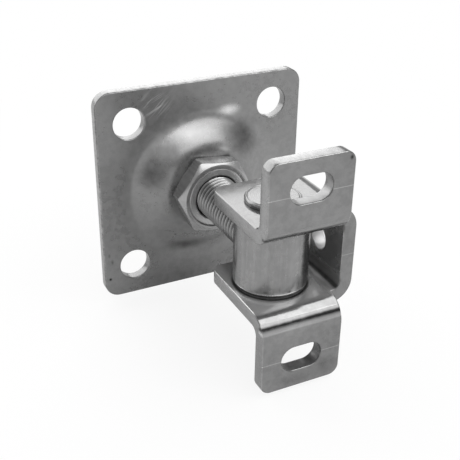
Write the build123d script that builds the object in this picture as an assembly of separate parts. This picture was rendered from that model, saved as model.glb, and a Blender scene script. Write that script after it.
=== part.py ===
# Adjustable gate hinge: a plate for the post, a nut that turns in the plate, a threaded eye
# that the nut moves in and out, and a folded bracket that swings on a pin through the eye.
#
# Frame, in millimetres: the origin is the middle of the four post bolts, on the face that
# lies against the post. Z points up, X to the right, and the hinge stands out towards -Y.
import os
from math import atan2, cos, radians, tan

from build123d import *

# Back plate
PLATE_SIDE = 100.0
PLATE_THICKNESS = 5.0
PLATE_CORNER = 7.0
BOLT_PITCH = 70.0
BOLT_HOLE = 14.5
DOME_HEIGHT = 7.25           # how far the dome stands in front of the flat sheet
CREST_MARGIN = 3.0           # flat crest left round the corners of the nut
DOME_FLANK = 11.0            # how far the flank runs outwards from crest to foot
DOME_BLEND = 7.2             # how much longer the blends at both ends make the flank
PLATE_EDGE = 0.4             # edge that the shears leave on the entry side

# Captive nut, thread M20 with a pitch of 2.5
THREAD_MAJOR = 19.8
NUT_ACROSS_FLATS = 33.0
NUT_HEX_HEIGHT = 8.0
NUT_COLLAR = 27.0
NUT_COLLAR_HEIGHT = 1.0
NUT_NECK = 26.0
NUT_RIM = 32.0
NUT_RIM_HEIGHT = 2.6
NUT_TAIL = 1.6               # what is left of the neck behind the flared rim
NUT_MOUTH_WIDER = 0.8        # countersink beyond the thread
NUT_BACK_LESS = 0.3          # the back chamfer starts this far inside the flats
NUT_FRONT_MORE = 0.5         # and the front one this far outside them
NUT_TURN = -6.0              # how far the hexagon stands turned in the photo

# Threaded eye
EYE_REACH = 71.7             # from the post face to the middle of the barrel
ROD_END = 2.5                # the rod stops this far short of the post face
ROD_POINT = 1.6
BARREL_DIAMETER = 31.0
BARREL_HEIGHT = 30.0
BARREL_EDGE = 0.9

# Hinge pin
PIN_DIAMETER = 16.0
PIN_HEAD = 23.0
PIN_HEAD_HEIGHT = 2.0
PIN_HEAD_EDGE = 0.5
PIN_RIVET = 21.0
PIN_RIVET_HEIGHT = 2.0
PIN_RIVET_SLOPE = 1.8

# Gate bracket, folded from one sheet
SHEET = 6.0
BEND_INSIDE = 3.5
ARM_LEFT_MARGIN = 2.3        # arm beyond the barrel, on the open side
ARM_BACK_MARGIN = 5.0        # arm beyond the barrel, towards the post
ARM_CORNER = 5.0
FLANGE_RISE = 28.5           # flange beyond its own arm
FLANGE_RELIEF = 0.4          # between a flange's edge and the start of the web's bend
FLANGE_CORNER = 4.5
SLOT_LENGTH = 18.2
SLOT_WIDTH = 11.3
UPPER_SLOT_DROP = 12.2       # from a flange's tip to the middle of its slot
LOWER_SLOT_DROP = 13.6
WEB_HOLE = 10.5

# Clearances
NUT_SEAT_GAP = 0.05          # hexagon against the crest, and rim against the hollow
NUT_NECK_GAP = 0.08
THREAD_GAP = 0.05
PIN_GAP = 0.05
BRACKET_SEAT_GAP = 0.05      # upper arm on the barrel, which carries the gate
BARREL_PLAY = 1.0            # how much higher the throat is than the barrel
WEB_GAP = 6.8                # between barrel and web
FLANGE_GAP = 5.9             # between barrel and the back of the flanges

PAST = 1.0                   # how far a cutting body runs past the face that it cuts


def rounded_face(points, rounded):
    """A flat face with straight sides, some of its corners given as (point, radius)."""
    face = make_face(Polyline(*points, close=True))
    for point, radius in rounded:
        corner = face.vertices().sort_by_distance(Vector(*point))[0]
        face = fillet(corner, radius)
    return face


def turned(points):
    """A body turned about the Y axis; the points are (radius, y)."""
    return revolve(make_face(Polyline(*points, close=True)), Axis.Y)


def drum(radius, y_from, y_to):
    """A round drum along Y between two positions."""
    return turned([(0, y_from), (radius, y_from), (radius, y_to), (0, y_to)])


# Positions along Y that several pieces share, and the dome's radii
NUT_CORNER = NUT_ACROSS_FLATS / 2 / cos(radians(30))
DOME_CREST = NUT_CORNER + CREST_MARGIN
DOME_FOOT = DOME_CREST + DOME_FLANK
FLAT_FRONT = -PLATE_THICKNESS
CREST_FRONT = FLAT_FRONT - DOME_HEIGHT
CREST_BACK = CREST_FRONT + PLATE_THICKNESS
NUT_SEAT = CREST_FRONT - NUT_SEAT_GAP
NUT_FACE = NUT_SEAT - NUT_HEX_HEIGHT
RIM_SEAT = CREST_BACK + NUT_SEAT_GAP


def dome_skin(shift, height, floor, blend):
    """The space under one skin of the dome, turned about Y. With a blend the flank is one smooth
    curve, level at crest and sheet and as steep in the middle as the straight flank without it."""
    inset = shift * tan(atan2(DOME_HEIGHT, DOME_FLANK) / 2)
    crest, foot = DOME_CREST - inset - blend / 2, DOME_FOOT - inset + blend / 2
    top, bottom, outer = height - DOME_HEIGHT, height, foot + PAST
    rest = Polyline((foot, bottom), (outer, bottom), (outer, floor), (0, floor), (0, top), (crest, top))
    flank = Bezier((crest, top), (crest + blend, top), (foot - blend, bottom), (foot, bottom))
    if not blend:
        flank = Line((crest, top), (foot, bottom))
    return revolve(make_face([*rest.edges(), flank]), Axis.Y)


def back_plate():
    """Square plate with its dome; the sheet keeps its thickness over crest, flank and foot."""
    outline = extrude(Plane.XZ * RectangleRounded(PLATE_SIDE, PLATE_SIDE, PLATE_CORNER), PLATE_THICKNESS)
    front_edge = outline.faces().sort_by(Axis.Y)[0].edges()
    sheet = chamfer(front_edge, PLATE_EDGE)
    sheet += dome_skin(0, FLAT_FRONT, FLAT_FRONT / 2, DOME_BLEND)
    sheet -= dome_skin(PLATE_THICKNESS, 0, PLATE_THICKNESS, 0)
    sheet -= drum(NUT_NECK / 2 + NUT_NECK_GAP, CREST_FRONT - PAST, PAST)
    for x in (-1, 1):
        for z in (-1, 1):
            bolt = drum(BOLT_HOLE / 2, FLAT_FRONT - PAST, PAST)
            sheet -= Pos(x * BOLT_PITCH / 2, 0, z * BOLT_PITCH / 2) * bolt
    return sheet


def captive_nut():
    """Hexagon, neck and flared rim in one piece, bored for the rod."""
    body = Pos(0, NUT_SEAT, 0) * extrude(Plane.XZ * RegularPolygon(NUT_CORNER, 6), NUT_HEX_HEIGHT)
    back_flat, front_flat = NUT_ACROSS_FLATS / 2 - NUT_BACK_LESS, NUT_ACROSS_FLATS / 2 + NUT_FRONT_MORE
    reach = NUT_CORNER + PAST
    body &= turned([
        (0, NUT_SEAT), (back_flat, NUT_SEAT),
        (reach, NUT_SEAT - (reach - back_flat) * tan(radians(30))),
        (reach, NUT_FACE + (reach - front_flat) * tan(radians(15))),
        (front_flat, NUT_FACE), (0, NUT_FACE)])
    front = NUT_FACE - NUT_COLLAR_HEIGHT
    neck_end = RIM_SEAT + NUT_RIM_HEIGHT
    tail = neck_end + NUT_TAIL
    body += drum(NUT_COLLAR / 2, front, NUT_SEAT)
    body += drum(NUT_NECK / 2, NUT_FACE, tail)
    body += drum(NUT_RIM / 2, RIM_SEAT, neck_end)
    bore, mouth = THREAD_MAJOR / 2 + THREAD_GAP, THREAD_MAJOR / 2 + NUT_MOUTH_WIDER
    body -= turned([(0, front - PAST), (mouth + PAST, front - PAST), (bore, front + mouth - bore),
                    (bore, tail + PAST), (0, tail + PAST)])
    return Rot(0, -NUT_TURN, 0) * body


def threaded_eye():
    """Rod and barrel, welded into one piece."""
    rod = THREAD_MAJOR / 2
    eye = turned([(0, -EYE_REACH), (rod, -EYE_REACH), (rod, -ROD_END - ROD_POINT),
                  (rod - ROD_POINT, -ROD_END), (0, -ROD_END)])
    barrel = Cylinder(BARREL_DIAMETER / 2, BARREL_HEIGHT)
    barrel = chamfer(barrel.edges().filter_by(GeomType.CIRCLE), BARREL_EDGE)
    eye += Pos(0, -EYE_REACH, 0) * barrel
    eye -= Pos(0, -EYE_REACH, 0) * Cylinder(PIN_DIAMETER / 2 + PIN_GAP, BARREL_HEIGHT + 2 * PAST)
    return eye


# The bracket's faces, measured from the pin and from the middle between the arms
ARM_INSIDE = (BARREL_HEIGHT + BARREL_PLAY) / 2
ARM_OUTSIDE = ARM_INSIDE + SHEET
ARM_LEFT = BARREL_DIAMETER / 2 + ARM_LEFT_MARGIN
ARM_BACK = BARREL_DIAMETER / 2 + ARM_BACK_MARGIN
BEND_OUTSIDE = BEND_INSIDE + SHEET
WEB_INSIDE = BARREL_DIAMETER / 2 + WEB_GAP
WEB_OUTSIDE = WEB_INSIDE + SHEET
FLANGE_FRONT = BARREL_DIAMETER / 2 + FLANGE_GAP + SHEET
FLANGE_RIGHT = WEB_OUTSIDE - BEND_OUTSIDE - FLANGE_RELIEF
FLANGE_TIP = ARM_OUTSIDE + FLANGE_RISE
FLANGE_START = BEND_OUTSIDE - FLANGE_FRONT
BRACKET_MIDDLE = BARREL_HEIGHT / 2 + BRACKET_SEAT_GAP - ARM_INSIDE


def hinge_pin():
    """Plain pin with a flat head above and a riveted end below."""
    top, bottom = BRACKET_MIDDLE + ARM_OUTSIDE, BRACKET_MIDDLE - ARM_OUTSIDE
    pin, head, rivet = PIN_DIAMETER / 2, PIN_HEAD / 2, PIN_RIVET / 2
    section = make_face(Plane.XZ * Polyline(
        (0, bottom - PIN_RIVET_HEIGHT), (rivet - PIN_RIVET_SLOPE, bottom - PIN_RIVET_HEIGHT),
        (rivet, bottom), (pin, bottom), (pin, top), (head, top),
        (head, top + PIN_HEAD_HEIGHT - PIN_HEAD_EDGE),
        (head - PIN_HEAD_EDGE, top + PIN_HEAD_HEIGHT), (0, top + PIN_HEAD_HEIGHT), close=True))
    return Pos(0, -EYE_REACH, 0) * revolve(section, Axis.Z)


def arms_and_web():
    """The U: two arms and the web, with both bends, as one bent sheet."""
    section = rounded_face(
        [(-ARM_LEFT, ARM_OUTSIDE), (WEB_OUTSIDE, ARM_OUTSIDE),
         (WEB_OUTSIDE, -ARM_OUTSIDE), (-ARM_LEFT, -ARM_OUTSIDE),
         (-ARM_LEFT, -ARM_INSIDE), (WEB_INSIDE, -ARM_INSIDE),
         (WEB_INSIDE, ARM_INSIDE), (-ARM_LEFT, ARM_INSIDE)],
        [((WEB_OUTSIDE, ARM_OUTSIDE), BEND_OUTSIDE), ((WEB_OUTSIDE, -ARM_OUTSIDE), BEND_OUTSIDE),
         ((WEB_INSIDE, ARM_INSIDE), BEND_INSIDE), ((WEB_INSIDE, -ARM_INSIDE), BEND_INSIDE)])
    body = Pos(0, ARM_BACK, 0) * extrude(Plane.XZ * section, ARM_BACK - FLANGE_START)
    corners = body.edges().filter_by(Axis.Z).filter_by(
        lambda e: e.center().X < 0.1 - ARM_LEFT and e.center().Y > ARM_BACK - 0.1)
    return fillet(corners, ARM_CORNER)


def flange(slot_drop):
    """The flange folded up from the front of an arm, with its slot."""
    front, back, tip = -FLANGE_FRONT, SHEET - FLANGE_FRONT, FLANGE_TIP
    section = rounded_face(
        [(FLANGE_START, ARM_INSIDE), (front, ARM_INSIDE), (front, tip),
         (back, tip), (back, ARM_OUTSIDE), (FLANGE_START, ARM_OUTSIDE)],
        [((front, ARM_INSIDE), BEND_OUTSIDE), ((back, ARM_OUTSIDE), BEND_INSIDE)])
    body = Pos(-ARM_LEFT, 0, 0) * extrude(Plane.YZ * section, ARM_LEFT + FLANGE_RIGHT)
    tips = body.edges().filter_by(Axis.Y).filter_by(lambda e: e.center().Z > tip - 0.1)
    body = fillet(tips, FLANGE_CORNER)
    middle = (FLANGE_RIGHT - ARM_LEFT) / 2
    slot = Plane.XZ * (Pos(middle, tip - slot_drop) * SlotOverall(SLOT_LENGTH, SLOT_WIDTH))
    return body - Pos(0, back + PAST, 0) * extrude(slot, SHEET + 2 * PAST)


def gate_bracket():
    """One folded sheet: the U, a flange at each arm, pin holes and the hole in the web."""
    body = arms_and_web() + flange(UPPER_SLOT_DROP) + mirror(flange(LOWER_SLOT_DROP), Plane.XY)
    body -= Cylinder(PIN_DIAMETER / 2, 2 * ARM_OUTSIDE + 2 * PAST)
    body -= Pos(WEB_OUTSIDE, 0, 0) * Rot(0, 90, 0) * Cylinder(WEB_HOLE / 2, 3 * SHEET)
    return Pos(0, -EYE_REACH, BRACKET_MIDDLE) * body


PIECES = {
    "back_plate": back_plate,
    "captive_nut": captive_nut,
    "threaded_eye": threaded_eye,
    "hinge_pin": hinge_pin,
    "gate_bracket": gate_bracket,
}

os.makedirs("parts", exist_ok=True)
for name, make in PIECES.items():
    piece = make()
    export_step(piece, f"parts/{name}.step")
    box = piece.bounding_box()
    print(f"{name}: {piece.volume:.0f} mm3, from {box.min} to {box.max}, {len(piece.solids())} solid")
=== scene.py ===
# %% [markdown]
# # An adjustable gate hinge
# A square plate with a pressed dome is bolted to the post. A nut is held in the dome so that it
# can turn but not leave. Turning it moves a threaded eye in and out, and a folded bracket swings
# on a pin through the eye. This lesson dresses the measured solids: it rebuilds the pieces whose
# edges, thread and folds catch the light, gives each one its zinc finish, and lights the whole.

# %% Load the frame
from math import atan2, pi, radians, tan

import bpy
import numpy as np
from mathutils import Matrix, Vector


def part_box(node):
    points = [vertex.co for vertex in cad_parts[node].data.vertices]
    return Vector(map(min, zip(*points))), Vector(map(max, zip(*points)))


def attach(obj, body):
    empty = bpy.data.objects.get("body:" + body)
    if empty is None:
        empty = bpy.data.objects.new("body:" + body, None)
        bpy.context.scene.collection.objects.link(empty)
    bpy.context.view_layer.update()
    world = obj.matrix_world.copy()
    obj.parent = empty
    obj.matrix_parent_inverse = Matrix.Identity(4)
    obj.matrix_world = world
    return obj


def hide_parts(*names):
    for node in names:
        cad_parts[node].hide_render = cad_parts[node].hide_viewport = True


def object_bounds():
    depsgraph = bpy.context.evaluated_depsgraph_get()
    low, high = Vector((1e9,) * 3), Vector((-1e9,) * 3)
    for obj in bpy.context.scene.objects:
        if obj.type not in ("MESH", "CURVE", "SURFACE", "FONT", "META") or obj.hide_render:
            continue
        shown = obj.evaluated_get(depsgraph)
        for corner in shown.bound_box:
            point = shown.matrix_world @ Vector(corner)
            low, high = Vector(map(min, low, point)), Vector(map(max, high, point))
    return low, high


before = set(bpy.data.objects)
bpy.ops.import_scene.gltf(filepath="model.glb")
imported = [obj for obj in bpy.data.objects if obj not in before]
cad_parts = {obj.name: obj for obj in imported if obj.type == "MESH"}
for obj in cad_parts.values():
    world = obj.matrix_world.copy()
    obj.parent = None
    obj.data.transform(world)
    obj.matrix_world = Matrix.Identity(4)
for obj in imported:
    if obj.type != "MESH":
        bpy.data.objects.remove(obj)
cad_box = [list(corner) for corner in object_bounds()]

# %% [markdown]
# ## Sizes
# All sizes are in millimetres, as a maker would say them, and become metres only when a mesh is
# made. Places come from the boxes of the solids, so that the pieces here sit where the solids are.

# %% Sizes shared by the pieces
MM = 0.001


def solid_box(node):
    """Lowest and highest corner of a solid, in millimetres."""
    return [np.array(corner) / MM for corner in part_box(node)]


plate_low, plate_high = solid_box("back_plate")
nut_high = solid_box("captive_nut")[1]
eye_low, eye_high = solid_box("threaded_eye")
pin_low, pin_high = solid_box("hinge_pin")
bracket_low, bracket_high = solid_box("gate_bracket")

BARREL_RADIUS = eye_high[0]
PIN_Y = eye_low[1] + BARREL_RADIUS
BRACKET_MIDDLE = (bracket_low[2] + bracket_high[2]) / 2
THREAD_RADIUS = 9.9
THREAD_PITCH = 2.5
PLAY = 0.05
print("pin axis at y", round(PIN_Y, 2), "bracket middle at z", round(BRACKET_MIDDLE, 2))

# %% [markdown]
# ## From arrays to a mesh
# Each piece is worked out as arrays of points and of four-cornered faces. Points that fall on the
# same place are welded, so patches that share an edge become one skin. Faces are turned outwards
# by the sign of the volume that they enclose.

# %% Mesh helpers
WELD = 1e-4


def grid(points):
    """A grid of points (row, column, coordinate) as a list of points and its four-cornered faces."""
    rows, columns = points.shape[:2]
    index = np.arange(rows * columns).reshape(rows, columns)
    faces = np.stack([index[:-1, :-1], index[:-1, 1:], index[1:, 1:], index[1:, :-1]], -1)
    return points.reshape(rows * columns, -1), faces.reshape(-1, 4)


def join(*parts):
    """Several (points, faces) pairs as one."""
    points, faces, count = [], [], 0
    for part_points, part_faces in parts:
        points.append(part_points)
        faces.append(part_faces + count)
        count += len(part_points)
    return np.concatenate(points), np.concatenate(faces)


def weld(points, faces):
    """Points rounded to a ten-thousandth of a millimetre and merged; collapsed faces lose a corner."""
    keys = np.round(points / WELD).astype(np.int64)
    _, first, inverse = np.unique(keys, axis=0, return_index=True, return_inverse=True)
    faces = inverse.reshape(-1)[faces]
    corners = (faces != np.roll(faces, -1, axis=1)).sum(1)
    return points[first], faces[corners >= 3]


def enclosed(points, faces):
    """The volume inside four-cornered faces: a sixth of the boxes that their corners span."""
    a, b, c, d = (points[faces[:, k]] for k in range(4))
    return (np.einsum("ij,ij->i", a, np.cross(b, c)) + np.einsum("ij,ij->i", a, np.cross(c, d))).sum() / 6


def make_piece(name, points, faces, node, body, slot, sharp):
    """A closed piece from points in millimetres, which replaces a solid and rides on its body."""
    points, faces = weld(points, faces)
    volume = enclosed(points, faces)
    if volume < 0:
        faces = faces[:, ::-1]
    polygons = [list(dict.fromkeys(face)) for face in faces.tolist()]
    mesh = bpy.data.meshes.new(name)
    mesh.from_pydata((points * MM).tolist(), [], polygons)
    mesh.validate()
    mesh.shade_smooth()
    mesh.set_sharp_from_angle(angle=radians(sharp))
    piece = bpy.data.objects.new(name, mesh)
    bpy.context.collection.objects.link(piece)
    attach(piece, body)
    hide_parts(node)
    print(name, len(mesh.polygons), "faces,", round(abs(volume) / 1000, 2), "cm3")
    return piece


# %% [markdown]
# ## Turned pieces
# Nut, barrel and pin come from a lathe. Each one is a profile that is carried round an axis. A
# lathe tool leaves no knife edges, so the profile's corners are rounded first.

# %% Turned skins
def path_round(corners, cut, steps):
    """A profile with its corners rounded: each corner gives way to a parabola that starts and ends
    at most `cut` from it. The last axis of corners is (radius, height), and the two ends stay."""
    rows = [corners[0]]
    for before, here, after in zip(corners[:-2], corners[1:-1], corners[2:]):
        back, ahead = before - here, after - here
        back_long = np.linalg.norm(back, axis=-1, keepdims=True)
        ahead_long = np.linalg.norm(ahead, axis=-1, keepdims=True)
        start = here + back / np.maximum(back_long, 1e-9) * np.minimum(cut, back_long / 2)
        end = here + ahead / np.maximum(ahead_long, 1e-9) * np.minimum(cut, ahead_long / 2)
        for t in np.linspace(0, 1, steps + 1):
            rows.append((1 - t) ** 2 * start + 2 * t * (1 - t) * here + t ** 2 * end)
    rows.append(corners[-1])
    return np.stack(rows)


def turned_skin(profile, angles, axis):
    """A profile of (radius, height) rows carried round an axis: x = r cos a, and r sin a goes to
    the other crosswise direction. profile has the shape (row, 2) or (row, around, 2)."""
    if profile.ndim == 2:
        profile = np.repeat(profile[:, None], len(angles), 1)
    radius, height = profile[..., 0], profile[..., 1]
    x, other = radius * np.cos(angles), radius * np.sin(angles)
    parts = [x, height, other] if axis == "Y" else [x, other, height]
    return grid(np.stack(parts, -1))


def full_circle(count):
    """Angles of a closed circle, the first one repeated at the end."""
    return np.linspace(0, 2 * pi, count + 1)


# %% [markdown]
# ## Slabs
# The plate and the bracket are both cut from flat steel, so both start as a slab: a flat outline
# filled with patches, an upper and a lower skin, and a rounded band along every free edge. The
# slab's third number is the depth below the front skin. A formula then presses or folds it.

# %% Slab from a flat pattern
EDGE_ROUND = 0.45
EDGE_STEPS = 4


def free_edges(faces):
    """Edges that only one face uses, in the direction in which that face runs."""
    edges = np.stack([faces, np.roll(faces, -1, axis=1)], -1).reshape(-1, 2)
    edges = edges[edges[:, 0] != edges[:, 1]]
    _, inverse, counts = np.unique(np.sort(edges, 1), axis=0, return_inverse=True, return_counts=True)
    return edges[counts[inverse.reshape(-1)] == 1]


def edge_rows(flat, ring, edges, thickness):
    """Rows of points along the free edges: outwards by EDGE_ROUND in a quarter circle, straight
    down and back in the same way. Where two edges meet, the way out is their mitre."""
    along = flat[edges[:, 1]] - flat[edges[:, 0]]
    along /= np.linalg.norm(along, axis=1, keepdims=True)
    outwards = np.stack([along[:, 1], -along[:, 0]], 1)
    total = np.zeros_like(flat)
    np.add.at(total, edges[:, 0], outwards)
    np.add.at(total, edges[:, 1], outwards)
    mitre = total[ring] * 2 / (total[ring] ** 2).sum(1)[:, None]
    turn = np.linspace(0, pi / 2, EDGE_STEPS + 1)
    out = np.concatenate([np.sin(turn), np.sin(turn)[::-1]]) * EDGE_ROUND
    down = np.concatenate([1 - np.cos(turn), thickness / EDGE_ROUND - 1 + np.cos(turn)[::-1]]) * EDGE_ROUND
    return [np.column_stack([flat[ring] + mitre * a, np.full(len(ring), b)]) for a, b in zip(out, down)]


def slab(flat, faces, thickness):
    """A flat pattern given thickness: a front and a back skin, joined along the free edges."""
    flat, faces = weld(flat, faces)
    a, b, c, d = (flat[faces[:, k]] for k in range(4))
    area = np.cross(c - a, d - b)
    faces = np.where(area[:, None] < 0, faces[:, ::-1], faces)
    edges = free_edges(faces)
    ring = np.unique(edges[:, 0])
    rows = edge_rows(flat, ring, edges, thickness)
    front = np.column_stack([flat, np.zeros(len(flat))])
    back = np.column_stack([flat, np.full(len(flat), thickness)])
    place = np.full(len(flat), -1)
    place[ring] = np.arange(len(ring))
    start, end = place[edges[:, 0]], place[edges[:, 1]]
    bands = []
    for row in range(len(rows) - 1):
        near = 2 * len(flat) + row * len(ring)
        far = near + len(ring)
        bands.append(np.stack([near + start, far + start, far + end, near + end], 1))
    return np.concatenate([front, back, *rows]), np.concatenate([faces, faces[:, ::-1] + len(flat), *bands])


# %% [markdown]
# ## Patches
# A flat pattern is put together from patches that share their edges: rectangles on grid lines,
# and rings that lead from a hole to the outline round it. One extra grid line runs close to each
# free edge. Without it, the shading of the rounded edge would spread over the flat beside it.

# %% Grid lines and patches
EDGE_LINE = 0.25
EDGE_SHARE = 0.1
FIRST_SHARE = 0.25
ARC_STEPS = 12


def merged(*runs):
    """Several runs of grid lines as one, in order and without doubles."""
    return np.unique(np.round(np.concatenate(runs), 4))


def lines(start, end, edge=EDGE_LINE):
    """Grid lines from start to end, about a millimetre apart, with one extra line near each end."""
    count = max(2, int(round(abs(end - start))) + 1)
    inwards = np.sign(end - start) * edge
    return merged(np.linspace(start, end, count), [start + inwards, end - inwards])


def patch(first_lines, second_lines):
    """A rectangular patch of the flat pattern on two sets of grid lines."""
    return grid(np.stack(np.meshgrid(first_lines, second_lines, indexing="ij"), -1))


def ring_patch(hole, outline, rows):
    """A patch between a hole and what surrounds it: each point of the outline is joined to its
    partner on the hole by a straight line. The line is divided in the same shares all round, with
    one more row close to each end."""
    across = outline - hole
    edge = EDGE_LINE / np.linalg.norm(across, axis=1, keepdims=True)
    between = [hole + across * share for share in np.linspace(FIRST_SHARE, 1, rows)[1:-1]]
    beside_outline = outline - across * np.minimum(edge, EDGE_SHARE)
    return grid(np.stack([hole, hole + across * edge, *between, beside_outline, outline]))


def quarter_turn(steps=ARC_STEPS):
    """Cosine and sine of the angles of a quarter circle."""
    turn = np.linspace(0, pi / 2, steps + 1)
    return np.column_stack([np.cos(turn), np.sin(turn)])


def rounded_run(start, corner, end, radius):
    """Points along two straight runs that meet in a quarter circle of the given radius."""
    start, corner, end = np.array(start), np.array(corner), np.array(end)
    back = (start - corner) / np.linalg.norm(start - corner)
    ahead = (end - corner) / np.linalg.norm(end - corner)
    arc_from, arc_to = corner + back * radius, corner + ahead * radius
    cosine, sine = quarter_turn().T[:, :, None]
    arc = corner + (back + ahead) * radius - ahead * radius * cosine - back * radius * sine
    first, second = (np.linspace(a, b, int(np.linalg.norm(b - a)) + 2)
                     for a, b in ((start, arc_from), (arc_to, end)))
    return np.concatenate([first[:-1], arc, second[1:]])


# %% [markdown]
# ## The post plate
# The plate is a sheared square of 5 mm sheet with four punched bolt holes and a low dome, pressed
# from behind to make room for the nut's rim. The flat pattern has a ring of grid lines where the
# dome comes, and round it four corner patches, each drawn towards its bolt hole. The press is a
# formula of the distance from the middle, for both skins, with its radii shifted by the thickness.

# %% Post plate: flat pattern
PLATE_HALF = plate_high[0]
PLATE_SHEET = 5.0
PLATE_CORNER = 7.0
BOLT_AT = 35.0
BOLT_RADIUS = 7.25
NECK_RADIUS = 13.08
DOME_FLAT = 38.5
DOME_ROWS = 44
DOME_STEPS = 60
SPOKE_ROWS = 14
BOLT_ROWS = 16
PARTNER_ANGLES = (-45, 45, 135, 150, 300, 315)


def plate_quarter():
    """A quarter of the plate's pattern: the dome's ring on polar grid lines, and outside it a ring
    patch that joins each point of the quarter's outline to its partner on the bolt hole. The
    outline runs along the outer edges, inwards, back along the dome's ring and out again, and
    PARTNER_ANGLES say where on the hole the partners of its turning points lie."""
    half, neck = PLATE_HALF - EDGE_ROUND, NECK_RADIUS + EDGE_ROUND
    arc = quarter_turn(DOME_STEPS)
    radii = np.append([neck, neck + EDGE_LINE], np.linspace(neck + 0.8, DOME_FLAT, DOME_ROWS))
    outside = rounded_run((half, 0.0), (half, half), (0.0, half), PLATE_CORNER - EDGE_ROUND)
    inwards = np.column_stack([np.zeros(SPOKE_ROWS), np.linspace(half, DOME_FLAT, SPOKE_ROWS)])
    outline = np.concatenate([outside, inwards[1:], DOME_FLAT * arc[::-1][1:], inwards[::-1, ::-1][1:]])
    outline[-1] = outline[0]
    outer_end, dome_start = len(outside) - 1, len(outside) + len(inwards) - 2
    dome_end = dome_start + len(arc) - 1
    stops = [0, outer_end / 2, outer_end, dome_start, dome_end, len(outline) - 1]
    partner = np.interp(np.arange(len(outline)), stops, np.radians(PARTNER_ANGLES))
    hole = BOLT_AT + (BOLT_RADIUS + EDGE_ROUND) * np.column_stack([np.cos(partner), np.sin(partner)])
    hole[-1] = hole[0]
    return join(grid(radii[:, None, None] * arc), ring_patch(hole, outline, BOLT_ROWS))


quarter, quarter_faces = plate_quarter()
quarters = [(quarter * (x, z), quarter_faces) for x in (1, -1) for z in (1, -1)]
plate_points, plate_faces = slab(*join(*quarters), PLATE_SHEET)
print("flat plate", len(plate_points), "points, quarter", len(quarter))

# %% Post plate: the press
DOME_HEIGHT = -plate_low[1] - PLATE_SHEET
DOME_CREST = 22.05
DOME_FOOT = 33.05
DOME_BLEND = 7.2


def dome(radius, shift):
    """Height of the dome at a distance from the middle. The flank is one smooth curve from the
    level crest to the level sheet; shift moves it inwards for the skin underneath."""
    inset = shift * tan(atan2(DOME_HEIGHT, DOME_FOOT - DOME_CREST) / 2)
    crest, foot = DOME_CREST - inset - DOME_BLEND / 2, DOME_FOOT - inset + DOME_BLEND / 2
    t = np.linspace(0, 1, 400)
    middle = 3 * t * (1 - t) ** 2 * (crest + DOME_BLEND) + 3 * t ** 2 * (1 - t) * (foot - DOME_BLEND)
    along = (1 - t) ** 3 * crest + middle + t ** 3 * foot
    return np.interp(radius, along, DOME_HEIGHT * (1 - 3 * t ** 2 + 2 * t ** 3))


def pressed(points):
    """The slab (x, z, depth) laid on the post and pressed: y is the two skins' blend by depth."""
    x, z, depth = points.T
    radius = np.hypot(x, z)
    front = -PLATE_SHEET - dome(radius, 0.0)
    back = -dome(radius, PLATE_SHEET)
    return np.column_stack([x, front + (back - front) * depth / PLATE_SHEET, z])


plate = make_piece("post_plate", pressed(plate_points), plate_faces,
                   "back_plate", "post_plate", "plate_zinc", sharp=30)

# %% [markdown]
# ## The captive nut
# The nut is turned from hexagon bar. A cone in front and one behind cut its corners, which bends
# the flats' edges into shallow curves, and a spanner has worn the six long edges flat. The profile
# is carried round the axis, and the hexagon is a radius that depends on the angle: half the width
# over flats, divided by the cosine of the angle from the nearest flat's middle.

# %% Captive nut
FLATS_HALF = 16.5
CORNER_WORN = 18.8
FRONT_CONE, FRONT_SLOPE = 15.6, radians(30)
BACK_CONE, BACK_SLOPE = 16.2, radians(30)
HEX_HEIGHT = 9.2
COLLAR_RADIUS = 13.5
COLLAR_SUNK = 0.2
GROOVE_DEEP, GROOVE_FLOOR, GROOVE_MOUTH = 0.5, 0.4, 0.7
NECK = 13.0
RIM = 16.0
RIM_HEIGHT = 2.6
NUT_TURN = radians(-6.0)
BORE = THREAD_RADIUS + PLAY
BORE_CHAMFER = 0.6
BORE_SEAM = 1.0
MOUTH = BORE + 0.85


def captive_nut():
    """The nut's closed profile for every angle, rounded at its corners. It starts and ends in the
    bore, goes over collar, groove, hexagon and neck, and comes back over the rim."""
    angles = full_circle(360)
    bar = np.minimum(FLATS_HALF / np.cos((angles - NUT_TURN) % (pi / 3) - pi / 6), CORNER_WORN)
    seat = plate_low[1] - PLAY
    face = seat - HEX_HEIGHT
    rim_seat = plate_low[1] + PLATE_SHEET + PLAY
    tail = nut_high[1]
    flat = np.ones_like(angles)

    def ring(radius, y):
        return np.stack([radius * flat, y * flat], -1)

    corners = np.stack([
        ring(BORE, tail - BORE_SEAM), ring(BORE, face + COLLAR_SUNK + MOUTH - BORE),
        ring(MOUTH, face + COLLAR_SUNK), ring(COLLAR_RADIUS, face + COLLAR_SUNK),
        ring(COLLAR_RADIUS, face + GROOVE_DEEP), ring(COLLAR_RADIUS + GROOVE_FLOOR, face + GROOVE_DEEP),
        ring(COLLAR_RADIUS + GROOVE_MOUTH, face),
        ring(FRONT_CONE, face), ring(bar, face + (bar - FRONT_CONE) * tan(FRONT_SLOPE)),
        ring(bar, seat - (bar - BACK_CONE) * tan(BACK_SLOPE)), ring(BACK_CONE, seat), ring(NECK, seat),
        ring(NECK, rim_seat), ring(RIM, rim_seat), ring(RIM, rim_seat + RIM_HEIGHT),
        ring(NECK, rim_seat + RIM_HEIGHT), ring(NECK, tail), ring(BORE + BORE_CHAMFER, tail),
        ring(BORE, tail - BORE_CHAMFER), ring(BORE, tail - BORE_SEAM)])
    return turned_skin(path_round(corners, cut=0.35, steps=3), angles, "Y")


nut = make_piece("captive_nut_turned", *captive_nut(), "captive_nut", "adjusting_nut", "nut_zinc", sharp=40)

# %% [markdown]
# ## The threaded eye
# A rolled rod with a coarse metric thread is welded to a drilled barrel. The thread's grid follows
# its own helix: each grid line keeps its place in the thread profile while it winds round, so the
# crests stay crisp. A right-hand thread moves away from its head as it turns clockwise.

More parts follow.
